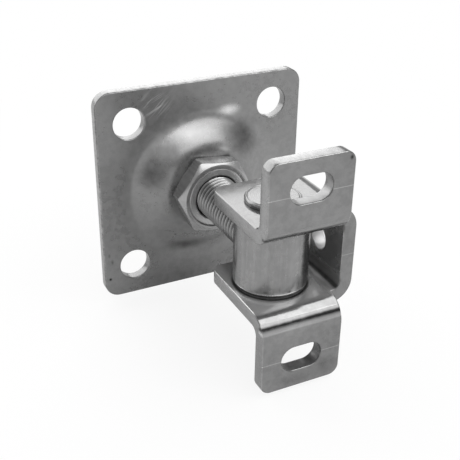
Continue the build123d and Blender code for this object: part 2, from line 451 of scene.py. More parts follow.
# %% Threaded rod
ROD_END = eye_high[1]
ROD_START = PIN_Y + 9.7
ROD_POINT = 1.6
THREAD_DEPTH = 1.35
THREAD_STEPS = 120
# The share of a pitch, and the share of the thread's depth that is reached there.
THREAD_PROFILE = np.array([[0.0, 0.0], [0.05, 0.0], [0.09, 0.04], [0.13, 0.14], [0.42, 0.9], [0.47, 0.98],
                           [0.55, 1.0], [0.63, 0.98], [0.68, 0.9], [0.93, 0.14], [0.97, 0.04]])


def threaded_rod():
    """y grows by one pitch for each turn and each passage of the profile; the radius is the crest's
    less the profile's depth, cut by the cone of the point. y is held between the rod's two ends."""
    angles = full_circle(THREAD_STEPS)
    winding = angles[None] / (2 * pi)
    turns = int((ROD_END - ROD_START) / THREAD_PITCH) + 3
    steps = np.concatenate([THREAD_PROFILE[:, 0] + k for k in range(turns)])
    y = ROD_START + (steps[:, None] - 1.0 + winding) * THREAD_PITCH
    held = np.clip(y, ROD_START, ROD_END)
    phase = ((held - ROD_START) / THREAD_PITCH + 1.0 - winding) % 1.0
    depth = np.interp(phase, np.append(THREAD_PROFILE[:, 0], 1.0), np.append(THREAD_PROFILE[:, 1], 0.0))
    radius = np.minimum(THREAD_RADIUS - THREAD_DEPTH * depth, THREAD_RADIUS - ROD_POINT + ROD_END - held)
    first, last = (np.stack([np.zeros_like(angles), np.full_like(angles, level)], -1)[None]
                   for level in (ROD_START, ROD_END))
    return turned_skin(np.concatenate([first, np.stack([radius, held], -1), last]), angles, "Y")


rod_points, rod_faces = threaded_rod()
print("rod", len(rod_faces), "faces,", round((ROD_END - ROD_START) / THREAD_PITCH, 1), "pitches long")

# %% [markdown]
# The barrel is a short tube on the pin's axis. Its ends are faced and lightly chamfered.

# %% Barrel, and the whole eye
BARREL_TOP = eye_high[2]
BARREL_CHAMFER = 0.9
PIN_RADIUS = 8.0


def barrel():
    """The tube's closed profile, turned about the pin's axis."""
    bore, out, top = PIN_RADIUS + PLAY, BARREL_RADIUS, BARREL_TOP
    profile = np.array([
        [bore, 0.0], [bore, top - BORE_CHAMFER], [bore + BORE_CHAMFER, top], [out - BARREL_CHAMFER, top],
        [out, top - BARREL_CHAMFER], [out, 0.0], [out, BARREL_CHAMFER - top], [out - BARREL_CHAMFER, -top],
        [bore + BORE_CHAMFER, -top], [bore, BORE_CHAMFER - top], [bore, 0.0]])
    points, faces = turned_skin(path_round(profile, cut=0.4, steps=4), full_circle(240), "Z")
    return points + (0, PIN_Y, 0), faces


eye = make_piece("threaded_eye_welded", *join((rod_points, rod_faces), barrel()),
                 "threaded_eye", "eye", "eye_zinc", sharp=50)

# %% [markdown]
# ## The hinge pin
# A plain pin whose flat head rests on the upper arm. Below the lower arm its end is riveted over.
# It is one turned profile, closed at both poles.

# %% Hinge pin
PIN_HEAD = pin_high[0]
HEAD_HEIGHT = 2.0
RIVET = 10.5
RIVET_HEIGHT = 2.0
RIVET_SLOPE = 1.8
# The head's rim, measured from its edge and its top: a turned line, a narrow land, a chamfer.
HEAD_RIM = np.array([[-1.3, 0.0], [-1.1, -0.3], [-0.9, -0.1], [-0.5, -0.1], [0.0, -0.6]])


def hinge_pin():
    """Profile from the middle of the head down to the middle of the riveted end."""
    top, bottom = pin_high[2], pin_low[2]
    under_head, over_rivet = top - HEAD_HEIGHT, bottom + RIVET_HEIGHT
    profile = np.concatenate([
        [[0.0, top]], HEAD_RIM + (PIN_HEAD, top), [[PIN_HEAD, under_head], [PIN_RADIUS, under_head]],
        [[PIN_RADIUS, over_rivet], [RIVET, over_rivet], [RIVET - RIVET_SLOPE, bottom], [0.0, bottom]]])
    points, faces = turned_skin(path_round(profile, cut=0.3, steps=4), full_circle(180), "Z")
    return points + (0, PIN_Y, 0), faces


pin = make_piece("hinge_pin_turned", *hinge_pin(), "hinge_pin", "gate_leaf", "pin_zinc", sharp=45)

# %% [markdown]
# ## The gate bracket
# The bracket is cut as one flat blank and folded four times: two folds make the U that holds the
# barrel, and one more on each arm turns up the flange that meets the gate. So it is drawn here as
# its blank, with the hole and the slots in it, and a formula folds it. Along the blank, s runs from
# one arm over the web to the other, and t runs from front to back. A fold of a flat strip is an
# arc: its length in the blank is a quarter circle at the middle of the sheet.

# %% Sizes of the bracket
SHEET = 6.0
BEND_INSIDE = 3.5
BEND_OUTSIDE = BEND_INSIDE + SHEET
FOLD_LONG = pi / 2 * (BEND_INSIDE + SHEET / 2)
ARM_INSIDE = 15.5
ARM_LEFT = -bracket_low[0]
ARM_BACK = bracket_high[1] - PIN_Y
ARM_CORNER = 5.0
WEB_OUTSIDE = bracket_high[0]
WEB_HOLE = 5.25
FLANGE_FACE = bracket_low[1]
FLANGE_TIP = bracket_high[2] - BRACKET_MIDDLE
FLANGE_CORNER = 4.5
RELIEF = 0.4
SLOT_HALF = 3.45
SLOT_RADIUS = 5.65
UPPER_SLOT, LOWER_SLOT = 37.8, 36.4

# %% [markdown]
# The blank's own places follow from those sizes, by walking from the middle of the web over the
# bend to the arm's end, and from the arm over the second fold to the flange's tip.

# %% Places on the blank
WEB_HALF = ARM_INSIDE + SHEET - BEND_OUTSIDE
BEND_X = WEB_OUTSIDE - BEND_OUTSIDE
ARM_START = WEB_HALF + FOLD_LONG
ARM_END = ARM_START + BEND_X + ARM_LEFT
FLANGE_SIDE = ARM_START + RELIEF
FOLD_T = BEND_OUTSIDE - (PIN_Y - FLANGE_FACE)
FLANGE_T = FOLD_T - FOLD_LONG
TIP_T = FLANGE_T - (FLANGE_TIP - ARM_INSIDE - BEND_OUTSIDE)
print("blank", round(2 * ARM_END, 1), "by", round(ARM_BACK - TIP_T, 1), "mm")

# %% [markdown]
# The pattern's free edges lie EDGE_ROUND inside the real outline, because the slab's band brings
# them out again. All patches use the same grid lines, so that they meet point to point.

# %% Grid lines of the blank
HOLE_PATCH = 9.0
FOLD_STEPS = 18
HOLE_ROWS, SLOT_ROWS = 7, 12
SIDE, END = FLANGE_SIDE + EDGE_ROUND, ARM_END - EDGE_ROUND
FRONT, BACK, TIP = FOLD_T + EDGE_ROUND, ARM_BACK - EDGE_ROUND, TIP_T + EDGE_ROUND
CORNER = ARM_CORNER - EDGE_ROUND
CORNER_S, CORNER_T = END - CORNER, BACK - CORNER
SLOT_S = (SIDE + END) / 2
SLOT_X = BEND_X + ARM_START - SLOT_S
CORNER_LINES = np.array([0.0, 1.2, 2.4, 3.4, CORNER - EDGE_LINE, CORNER])

web_s = lines(0, HOLE_PATCH, edge=1.0)
bend_s = merged(lines(HOLE_PATCH, WEB_HALF, edge=1.0), np.linspace(WEB_HALF, ARM_START, FOLD_STEPS + 1))
arm_s = merged([SIDE + EDGE_LINE], lines(SIDE, CORNER_S, edge=0.5), CORNER_S + CORNER_LINES)
hole_t = lines(-HOLE_PATCH, HOLE_PATCH, edge=1.0)
front_t = lines(FRONT, -HOLE_PATCH)
all_t = merged(front_t, hole_t, lines(HOLE_PATCH, CORNER_T, edge=0.5), CORNER_T + CORNER_LINES)
fold_t = merged(np.linspace(FLANGE_T, FOLD_T, FOLD_STEPS + 1), [FRONT])
print("grid lines", len(web_s) + len(bend_s) + len(arm_s), "along s,", len(all_t) + len(fold_t), "along t")
print("slots at x", round(SLOT_X, 2))


# %% Patches of the blank
def web_and_arm_patches():
    """The web beside its hole, the bend, and the arm with a fan of grid lines round its corner."""
    before_s, after_s = arm_s[arm_s <= round(CORNER_S, 4)], arm_s[arm_s >= round(CORNER_S, 4)]
    fan = (CORNER_S, CORNER_T) + CORNER_LINES[:, None, None] * quarter_turn()
    return [patch(web_s, front_t), patch(web_s, all_t[all_t >= HOLE_PATCH]), patch(bend_s, all_t),
            patch([ARM_START, SIDE], all_t), patch(before_s, all_t),
            patch(after_s, all_t[all_t <= round(CORNER_T, 4)]), grid(fan)]


def web_hole_patch():
    """A ring patch between half of the web's hole and the lines round it."""
    around = np.concatenate([
        np.column_stack([web_s, np.full(len(web_s), -HOLE_PATCH)]),
        np.column_stack([np.full(len(hole_t), HOLE_PATCH), hole_t])[1:],
        np.column_stack([web_s, np.full(len(web_s), HOLE_PATCH)])[::-1][1:]])
    hole = around / np.linalg.norm(around, axis=1, keepdims=True) * (WEB_HOLE + EDGE_ROUND)
    return ring_patch(hole, around, HOLE_ROWS)


def flange_patches(slot_height):
    """The second fold, and the flange as a ring patch between its slot and its outline. The slot
    is every point at SLOT_RADIUS from a short straight spine."""
    radius = FLANGE_CORNER - EDGE_ROUND
    first = rounded_run((END, FLANGE_T), (END, TIP), (SLOT_S, TIP), radius)
    second = rounded_run((SLOT_S, TIP), (SIDE, TIP), (SIDE, FLANGE_T), radius)
    base = np.column_stack([arm_s, np.full(len(arm_s), FLANGE_T)])
    outline = np.concatenate([first, second[1:], base[1:]])
    outline[-1] = outline[0]
    centre = FLANGE_T - (slot_height - ARM_INSIDE - BEND_OUTSIDE)
    spine = np.column_stack([np.clip(outline[:, 0], SLOT_S - SLOT_HALF, SLOT_S + SLOT_HALF),
                             np.full(len(outline), centre)])
    towards = outline - spine
    slot = spine + towards / np.linalg.norm(towards, axis=1, keepdims=True) * (SLOT_RADIUS + EDGE_ROUND)
    return [patch(arm_s, fold_t), ring_patch(slot, outline, SLOT_ROWS)]


# %% [markdown]
# Both halves of the blank share web and arm and differ only in the height of their slot. The lower
# one is the mirrored pattern. Then the whole blank becomes a slab and is folded.

# %% Folded bracket
def folded(points):
    """The blank folded. Within a bend the angle grows evenly with the blank's length, and the
    radius is the inside radius plus the depth; beyond it the sheet goes on straight."""
    s, t, depth = points.T
    side, s = np.sign(s), np.abs(s)
    turn = np.clip((s - WEB_HALF) / FOLD_LONG, 0, 1) * pi / 2
    x = BEND_X + (BEND_INSIDE + depth) * np.cos(turn) - np.maximum(s - ARM_START, 0)
    z = np.minimum(s, WEB_HALF) + (BEND_INSIDE + depth) * np.sin(turn)
    fold = np.clip((FOLD_T - t) / FOLD_LONG, 0, 1) * pi / 2 * (s > ARM_START)
    y = np.where(t < FOLD_T, FOLD_T - (BEND_OUTSIDE - depth) * np.sin(fold), t)
    past = np.maximum(FLANGE_T - t, 0)
    rise = ARM_INSIDE + BEND_OUTSIDE - (BEND_OUTSIDE - depth) * np.cos(fold) + past
    z = np.where((t < FOLD_T) & (s > ARM_START), rise, z)
    return np.column_stack([x, y + PIN_Y, side * z + BRACKET_MIDDLE])


def blank_half(slot_height):
    """Half of the blank, from the middle of the web to an arm's end, with its flange."""
    return join(*web_and_arm_patches(), web_hole_patch(), *flange_patches(slot_height))


upper_points, upper_faces = blank_half(UPPER_SLOT)
lower_points, lower_faces = blank_half(LOWER_SLOT)
blank = join((upper_points, upper_faces), (lower_points * (-1, 1), lower_faces))
bracket_points, bracket_faces = slab(*blank, SHEET)
bracket = make_piece("gate_bracket_folded", folded(bracket_points), bracket_faces,
                     "gate_bracket", "gate_leaf", "bracket_zinc", sharp=30)

# %% [markdown]
# ## Zinc finishes
# Bright zinc plating on steel is a metal with a soft gloss. Close up it isn't even: the sheet shows
# rolling grain and faint mottling under the plating, cut edges are rougher, and turned pieces show
# fine rings. So a finish starts from one grey and one roughness, and every mark adds to them. The
# marks are read from Object coordinates, so that nothing slides when a piece moves.

# %% Material helpers
class Finish:
    """A material with a Principled shader, and short ways to add the nodes that feed it."""

    def __init__(self, name, grey, roughness, metallic):
        self.material = bpy.data.materials.new(name)
        self.material.use_nodes = True
        self.nodes, self.links = self.material.node_tree.nodes, self.material.node_tree.links
        self.shader = self.nodes["Principled BSDF"]
        self.shader.inputs["Metallic"].default_value = metallic
        self.coordinates = self.nodes.new("ShaderNodeTexCoord").outputs
        self.grey, self.roughness, self.height = grey, roughness, 0.0

    def link(self, value, socket):
        """A socket or a plain number goes into an input."""
        if isinstance(value, bpy.types.NodeSocket):
            self.links.new(value, socket)
        else:
            socket.default_value = value

    def math(self, operation, *values):
        """A Math node on sockets or numbers."""
        node = self.nodes.new("ShaderNodeMath")
        node.operation = operation
        for value, socket in zip(values, node.inputs):
            self.link(value, socket)
        return node.outputs[0]

    def noise(self, per_metre, stretch=(1, 1, 1), detail=3.0, turn=(0, 0, 0)):
        """Noise from 0 to 1 whose grain is about 1/per_metre metres. Its coordinates are first
        turned by degrees and then stretched along the turned axes."""
        place = self.nodes.new("ShaderNodeMapping")
        place.vector_type = "TEXTURE"
        place.inputs["Scale"].default_value = [1 / v for v in stretch]
        place.inputs["Rotation"].default_value = [radians(v) for v in turn]
        self.links.new(self.coordinates["Object"], place.inputs["Vector"])
        node = self.nodes.new("ShaderNodeTexNoise")
        node.inputs["Scale"].default_value = per_metre
        node.inputs["Detail"].default_value = detail
        self.links.new(place.outputs[0], node.inputs["Vector"])
        return node.outputs["Fac"]

    def split(self, vector, axis):
        """One of the three numbers of a vector."""
        node = self.nodes.new("ShaderNodeSeparateXYZ")
        self.links.new(vector, node.inputs[0])
        return node.outputs[axis]

    def place(self, axis):
        """The X, Y or Z of the object's own point, in millimetres."""
        return self.math("DIVIDE", self.split(self.coordinates["Object"], axis), MM)

    def facing(self, axis):
        """How much the surface faces along an axis, from -1 to 1, in the object's own space."""
        return self.split(self.coordinates["Normal"], axis)

    def fade(self, value, none_at, full_at):
        """0 at one value and 1 at another, smooth between them and held beyond."""
        node = self.nodes.new("ShaderNodeMapRange")
        node.interpolation_type = "SMOOTHSTEP"
        self.link(value, node.inputs["Value"])
        node.inputs["From Min"].default_value = none_at
        node.inputs["From Max"].default_value = full_at
        return node.outputs["Result"]

    def near(self, value, middle, width):
        """1 where a value is at the middle, falling to 0 at the given distance."""
        return self.fade(self.math("ABSOLUTE", self.math("SUBTRACT", value, middle)), width, 0.0)

    def where(self, *amounts):
        """Amounts multiplied: full only where all of them are full."""
        product = amounts[0]
        for amount in amounts[1:]:
            product = self.math("MULTIPLY", product, amount)
        return product

    def reach(self, first, second, middle=(0.0, 0.0), size=(1.0, 1.0)):
        """Distance from a middle on two coordinates, each measured in its own size."""
        parts = [self.math("DIVIDE", self.math("SUBTRACT", value, centre), unit)
                 for value, centre, unit in zip((first, second), middle, size)]
        return self.math("SQRT", self.math("ADD", *[self.math("MULTIPLY", part, part) for part in parts]))

    def spot(self, first, second, middle, size):
        """1 in the middle of an oval on two coordinates, falling to 0 at its half widths."""
        return self.fade(self.reach(first, second, middle, size), 1.0, 0.0)

    def mark(self, *amounts, grey=0.0, roughness=0.0, height=0.0):
        """Adds a mark where all amounts are full; the rest says what it does at full strength."""
        amount = self.where(*amounts)
        for name, size in (("grey", grey), ("roughness", roughness), ("height", height)):
            if size:
                change = self.math("MULTIPLY", amount, size)
                setattr(self, name, self.math("ADD", getattr(self, name), change))

    def done(self, piece, bump):
        """Connects the sums to the shader and gives the material to its piece."""
        colour = self.nodes.new("ShaderNodeCombineColor")
        for channel in colour.inputs:
            self.links.new(self.grey, channel)
        self.links.new(colour.outputs[0], self.shader.inputs["Base Color"])
        self.links.new(self.roughness, self.shader.inputs["Roughness"])
        relief = self.nodes.new("ShaderNodeBump")
        relief.inputs["Strength"].default_value = bump
        relief.inputs["Distance"].default_value = MM
        self.links.new(self.height, relief.inputs["Height"])
        self.links.new(relief.outputs["Normal"], self.shader.inputs["Normal"])
        piece.data.materials.clear()
        piece.data.materials.append(self.material)
        print(self.material.name, len(self.nodes), "nodes")


# %% [markdown]
# All pieces carry the same zinc, so they share three marks that noise makes well: broad clouds,
# fine mottling and a faint grain. Their scales are grains to the metre.

# %% Zinc that all pieces share
CLOUDS, MOTTLING, GRAIN = 40, 350, 1400


def zinc(name, grey, roughness, metallic=0.7):
    """A finish with the three common marks."""
    finish = Finish(name, grey, roughness, metallic)
    finish.mark(finish.fade(finish.noise(CLOUDS), 0.3, 0.7), grey=0.03, roughness=0.05)
    mottling = finish.fade(finish.noise(MOTTLING, detail=4), 0.35, 0.65)
    finish.mark(mottling, grey=0.03, roughness=0.04, height=0.002)
    finish.mark(finish.noise(GRAIN, detail=2), grey=0.03, height=0.002)
    return finish


# %% [markdown]
# The plate is the flattest piece and shows the sheet's mottling best. Round the dome it carries
# painted highlights and painted shade: bright arcs on the dome, dark patches beside it, the shadow
# under the nut and a darker lower edge. The sheared edge has a broken dark line where the plating
# flaked. A patch of handling scratches, two smudges and a pit do the rest. A patch is an oval on
# x and z, whose edge noise makes ragged, and it is kept to the front by the way the face looks.

# %% Finish of the post plate
# Each patch has its middle (x, z), its half width and half height, and what it adds to the grey.
# The first list holds painted highlights on the dome; the second holds painted shade: dark patches beside
# the dome, the shadow under the nut and a darker lower edge.
PAINTED_HIGHLIGHTS = [((13.0, 34.5), (8.0, 4.0), 0.4), ((7.3, 19.5), (6.0, 3.2), 0.22),
             ((-9.0, 27.5), (17.0, 5.5), 0.1), ((-19.0, 22.0), (9.0, 8.0), 0.2)]
PAINTED_SHADE = [((20.0, 22.5), (10.0, 12.0), -0.13), ((-26.5, 9.5), (9.0, 9.0), -0.12),
        ((-9.0, -29.0), (17.0, 5.5), -0.14), ((-12.0, -47.0), (26.0, 12.0), -0.07)]
SMUDGES = [((-46.2, -31.4), (0.9, 1.8), -0.14), ((-47.5, -27.9), (0.8, 1.6), -0.12)]
PIT = [((-47.6, -40.4), (1.1, 1.1), -0.3)]
DULL_FOOT, DULL_REACH = DOME_FOOT + 3.0, 5.0
EDGE_REACH = 0.7
FLAKED_AT, FLAKED_WIDTH = 0.5 - PLATE_SHEET, 0.7
SCRATCHED_AT, SCRATCHED_SIZE = (-23.0, 42.5), (11.0, 9.0)
SCRATCH_SLANTS, SCRATCH_FINENESS, SCRATCH_THIN = (46, 63), 900, 0.06


def plate_zinc():
    """Zinc on the pressed plate, with its marks placed by x and z in millimetres."""
    finish = zinc("zinc_on_pressed_plate", 0.2, 0.25)
    x, y, z = finish.place("X"), finish.place("Y"), finish.place("Z")
    finish.mark(finish.near(finish.reach(x, z), DULL_FOOT, DULL_REACH), grey=0.025, roughness=0.05)
    front = finish.fade(finish.facing("Y"), 0.0, -0.3)
    ragged = finish.math("ADD", 0.55, finish.math("MULTIPLY", finish.noise(220, detail=4), 0.9))
    # Painted highlights and painted shade share this loop with the smudges and the pit.
    for middle, size, grey in PAINTED_HIGHLIGHTS + PAINTED_SHADE + SMUDGES + PIT:
        patchy = finish.where(finish.spot(x, z, middle, size), ragged, front)
        finish.mark(patchy, grey=grey, roughness=-0.3 * grey)
    outer = finish.math("MAXIMUM", finish.math("ABSOLUTE", x), finish.math("ABSOLUTE", z))
    edge = finish.fade(outer, PLATE_HALF - EDGE_REACH, PLATE_HALF - EDGE_REACH / 2)
    sheared = finish.fade(finish.noise(900, (1, 0.2, 1)), 0.35, 0.65)
    finish.mark(edge, sheared, grey=0.07, height=0.003)
    broken = finish.fade(finish.noise(300), 0.38, 0.5)
    flaked = finish.near(y, FLAKED_AT, FLAKED_WIDTH)
    finish.mark(flaked, edge, broken, grey=-0.15, roughness=0.15)
    scratched = finish.where(finish.spot(x, z, SCRATCHED_AT, SCRATCHED_SIZE), front)
    for slant in SCRATCH_SLANTS:
        streaks = finish.noise(SCRATCH_FINENESS, (1, 1, SCRATCH_THIN), detail=2, turn=(0, slant, 0))
        peaks = finish.fade(streaks, 0.56, 0.64)
        finish.mark(peaks, scratched, grey=0.22, roughness=0.1)
    finish.done(plate, bump=0.6)


plate_zinc()

# %% [markdown]
# The nut and the pin were faced on a lathe, so their faces carry fine rings round the axis: a wave
# of the distance from it. Noise makes the wave uneven, because a regular one looks printed. The
# nut's collar carries a painted highlight, and the edge of its bore a painted shadow.

# %% Finishes of nut and pin
NUT_RINGS, PIN_RINGS = 1.7, 1.3


def rings(finish, radius, per_millimetre, share):
    """Fine turning rings on a finish, by the distance from the axis."""
    wave = finish.math("SINE", finish.math("MULTIPLY", radius, per_millimetre * 2 * pi))
    finish.mark(wave, finish.noise(200), grey=share, height=share * 0.2)


def nut_zinc():
    """Zinc on the nut, with rings about the rod's axis."""
    finish = zinc("zinc_on_turned_nut", 0.34, 0.2)
    radius = finish.reach(finish.place("X"), finish.place("Z"))
    rings(finish, radius, NUT_RINGS, 0.05)
    # Painted highlight: the collar is made brighter than the face round it.
    finish.mark(finish.fade(radius, COLLAR_RADIUS + 0.3, COLLAR_RADIUS - 0.2), grey=0.12)
    # Painted shadow: the mouth of the bore is darkened, where a dark gap lies round the rod.
    finish.mark(finish.fade(radius, MOUTH + 0.1, BORE + 0.3), grey=-0.45, roughness=0.3)
    finish.done(nut, bump=0.5)


def pin_zinc():
    """Zinc on the pin, with rings about its own axis."""
    finish = zinc("zinc_on_hinge_pin", 0.24, 0.2, metallic=0.75)
    rings(finish, finish.reach(finish.place("X"), finish.place("Y"), (0.0, PIN_Y)), PIN_RINGS, 0.03)
    finish.done(pin, bump=0.5)


nut_zinc()
pin_zinc()

# %% [markdown]
# On the rod's upper side, the thread's roots carry painted shade and its crests painted highlights.
# Both are found by the thread's phase: the place along the rod in pitches, less the angle in turns.
# On its lower side the rod keeps an even grey. The barrel has streaks from drawing, a painted
# highlight on its lower rim and painted shade on its back and on the side next to the web.

# %% Finish of the threaded eye
ROOT_PHASE, ROOT_WIDTH = 0.62, 0.3
CREST_WIDTH = 0.14
UPPER_FROM, UPPER_TO = -3.0, 2.0
BLEND = 1.0
# How fine the barrel's streaks are, in grains to the metre, and what they add to the grey.
BARREL_STREAKS, STREAK_THIN = [(110, 0.06), (420, 0.03)], 0.04
RIM_ABOVE, RIM_WIDTH = 1.0, 0.7
SHADED_FROM, SHADED_TO = 6.3, 8.0
BEHIND_FROM, BEHIND_TO = PIN_Y - 3.5, PIN_Y - 2.5
# Dark spots near the barrel's foot: middle (x, z), half width and half height, change of grey.
FOOT_SPOTS = [((-9.0, -12.6), (1.6, 0.8), -0.15), ((0.3, -13.0), (1.3, 1.0), -0.16),
          ((-4.0, -11.5), (0.7, 2.0), -0.08)]


def thread_marks(finish, x, y, z):
    """Painted shade in the thread's roots and painted highlights on its crests, on the upper side of the
    rod.
    """
    along = finish.math("DIVIDE", finish.math("SUBTRACT", y, ROD_START), THREAD_PITCH)
    winding = finish.math("DIVIDE", finish.math("ARCTAN2", z, x), 2 * pi)
    phase = finish.math("FRACT", finish.math("SUBTRACT", along, winding))
    on_rod = finish.fade(y, ROD_START - BLEND, ROD_START)
    upper = finish.fade(z, UPPER_FROM, UPPER_TO)
    # Painted shade in the roots.
    finish.mark(finish.near(phase, ROOT_PHASE, ROOT_WIDTH), on_rod, upper, grey=-0.22, roughness=0.2)
    from_half = finish.math("ABSOLUTE", finish.math("SUBTRACT", phase, 0.5))
    # Painted highlight on the crests.
    finish.mark(finish.near(from_half, 0.5, CREST_WIDTH), upper, on_rod, grey=0.2)


def barrel_marks(finish, x, y, z):
    """Streaks, a painted highlight on the lower rim, painted shade on the side next to the web and on the
    back, and dark spots near the foot of the barrel.
    """
    on_barrel = finish.fade(y, ROD_START, ROD_START - BLEND)
    for per_metre, grey in BARREL_STREAKS:
        streaks = finish.fade(finish.noise(per_metre, (1, 1, STREAK_THIN)), 0.4, 0.6)
        finish.mark(streaks, on_barrel, grey=grey, roughness=0.04)
    # Painted highlight along the lower rim's chamfer.
    finish.mark(finish.near(z, RIM_ABOVE - BARREL_TOP, RIM_WIDTH), on_barrel, grey=0.4)
    finish.mark(finish.fade(x, SHADED_FROM, SHADED_TO), on_barrel, grey=-0.16)
    # Painted shade: the back half of the barrel is a little darker.
    finish.mark(finish.fade(y, BEHIND_FROM, BEHIND_TO), on_barrel, grey=-0.05)
    for middle, size, grey in FOOT_SPOTS:
        finish.mark(finish.spot(x, z, middle, size), on_barrel, grey=grey)


def eye_zinc():
    """Zinc on the eye, with the marks of rod and barrel."""
    finish = zinc("zinc_on_threaded_eye", 0.18, 0.17)
    x, y, z = finish.place("X"), finish.place("Y"), finish.place("Z")
    thread_marks(finish, x, y, z)
    barrel_marks(finish, x, y, z)
    finish.done(eye, bump=0.5)


eye_zinc()

# %% [markdown]
# The bracket still shows how it was made. There is a scribed line through each slot and one at the
# middle of the web, where the punch was set. The sheared edges have a coarse grain. All of these
# are bands of the height above the bracket's middle, or of x, kept to the face that carries them.

# %% Scribed lines and sheared edges of the bracket
SCRIBED_AT, SCRIBED_WIDTH = 36.0, 0.3
SKIN = 0.1
SHEARED_DEEP = 0.6
DARKEST_X = 28.0
# Spots on the flanges: middle (x, height), half width and half height, change of grey.
FLANGE_SPOTS = [((16.3, 47.5), (1.2, 1.6), -0.17), ((-4.0, -42.0), (2.0, 1.4), -0.1),
                ((11.0, -44.0), (9.0, 6.0), -0.06), ((-2.0, -46.5), (12.0, 4.0), -0.06)]


def flange_and_edge_marks(finish, x, y, height, from_middle):
    """Scribed lines on flanges and web, spots on the flanges, grain on the sheared edges."""
    on_flange = finish.fade(y, FLANGE_FACE + 3 * SKIN, FLANGE_FACE + SKIN)
    line = finish.near(from_middle, SCRIBED_AT, SCRIBED_WIDTH)
    finish.mark(line, on_flange, grey=0.16, roughness=0.1, height=-0.03)
    on_web = finish.where(finish.fade(x, BEND_X + BEND_INSIDE, BEND_X + BEND_INSIDE + 2 * SKIN),
                          finish.fade(y, PIN_Y + FOLD_T + 2 * SKIN, PIN_Y + FOLD_T + SKIN))
    finish.mark(finish.near(height, 0.0, SCRIBED_WIDTH), on_web, grey=0.14, height=-0.03)
    sheared = finish.fade(finish.noise(1000, (1, 0.3, 1)), 0.35, 0.65)
    tip = finish.fade(from_middle, FLANGE_TIP - SHEARED_DEEP, FLANGE_TIP - SHEARED_DEEP / 2)
    finish.mark(tip, sheared, grey=0.06, height=0.003)
    side = finish.fade(x, SHEARED_DEEP - ARM_LEFT, SHEARED_DEEP / 2 - ARM_LEFT)
    finish.mark(side, grey=0.06, roughness=0.1)
    finish.mark(side, sheared, grey=0.03)
    # Painted shade: the bracket grows slightly darker towards the web.
    finish.mark(finish.fade(x, 0.0, DARKEST_X), grey=-0.03)
    for middle, size, grey in FLANGE_SPOTS:
        uneven = finish.where(finish.spot(x, height, middle, size), finish.noise(240, detail=4))
        finish.mark(uneven, on_flange, grey=1.8 * grey)


# %% [markdown]
# Folding stretched the outer skin: the bend is slightly dented. Along it runs a painted dark line and,
# on the lower flange, a painted highlight line. Inside the U, painted light makes the web and the
# lower arm paler, and the folds are rougher, with painted shade. The lower arm has a painted shadow
# ring under the barrel's rim.

# %% Folds and inner faces of the bracket
SHADE_LINE_AT, SHADE_LINE_WIDTH = 19.5, 1.1
HIGHLIGHT_LINE_AT, HIGHLIGHT_LINE_WIDTH = -21.2, 1.3
DENTED_AT, DENTED_WIDTH, DENTS = 18.5, 6.0, 110
BEND_DEEP = 4.0
INNER_REACH = 0.8
SHADOW_RING_AT, SHADOW_RING_WIDTH = BARREL_RADIUS - 0.2, 1.5


def fold_marks(finish, y, height, from_middle):
    """Dents, a painted dark line and a painted highlight line on the outer side of the second folds."""
    outer_bend = finish.fade(y, FLANGE_FACE + BEND_DEEP, FLANGE_FACE + BEND_DEEP - 1.0)
    # Painted shade: a dark line along the outer bend.
    stretched = finish.near(from_middle, SHADE_LINE_AT, SHADE_LINE_WIDTH)
    finish.mark(stretched, outer_bend, grey=-0.25)
    # Painted highlight: a bright line on the lower flange's bend.
    finish.mark(finish.near(height, HIGHLIGHT_LINE_AT, HIGHLIGHT_LINE_WIDTH), outer_bend, grey=0.3)
    dents = finish.where(finish.noise(DENTS, (0.6, 1, 1.6), detail=1), outer_bend)
    finish.mark(dents, finish.near(from_middle, DENTED_AT, DENTED_WIDTH), height=0.35)


def inner_marks(finish, x, y, height, from_middle):
    """Painted light on the insides of web and lower arm, painted shade and more roughness inside the first
    folds, and a painted shadow ring under the barrel.
    """
    in_web = finish.where(finish.near(x, WEB_OUTSIDE - SHEET, INNER_REACH),
                          finish.fade(finish.facing("X"), -0.5, -0.9))
    in_arm = finish.where(finish.near(height, -ARM_INSIDE, INNER_REACH),
                          finish.fade(finish.facing("Z"), 0.5, 0.9))
    # Painted light: the insides of web and lower arm are made paler.
    finish.mark(in_web, grey=0.25, roughness=0.12)
    finish.mark(in_arm, grey=0.36, roughness=0.05)
    # Painted shadow: a dark ring on the lower arm round the barrel's foot.
    shadow_ring = finish.near(finish.reach(x, y, (0.0, PIN_Y)), SHADOW_RING_AT, SHADOW_RING_WIDTH)
    finish.mark(shadow_ring, in_arm, grey=-0.55, roughness=0.3)
    from_fold = finish.reach(x, from_middle, (BEND_X, WEB_HALF))
    in_fold = finish.fade(from_fold, BEND_INSIDE + INNER_REACH, BEND_INSIDE + SKIN)
    # Painted shade inside the first folds; the added roughness is the folds' own.
    finish.mark(in_fold, grey=-0.1, roughness=0.3)


# %% [markdown]
# A punch tears the last part of a hole, so the walls of hole and slots are rougher than the faces.
# Their grey is painted light in the web's hole and the upper slot, and painted shade in the lower slot.
# A wall is found by its distance from the hole's middle, or from the slot's straight spine.

# %% Walls of the hole and the slots, and the whole bracket
SLOT_WALLS = [(UPPER_SLOT, 0.3), (-LOWER_SLOT, -0.12)]
WALL_REACH = 0.3


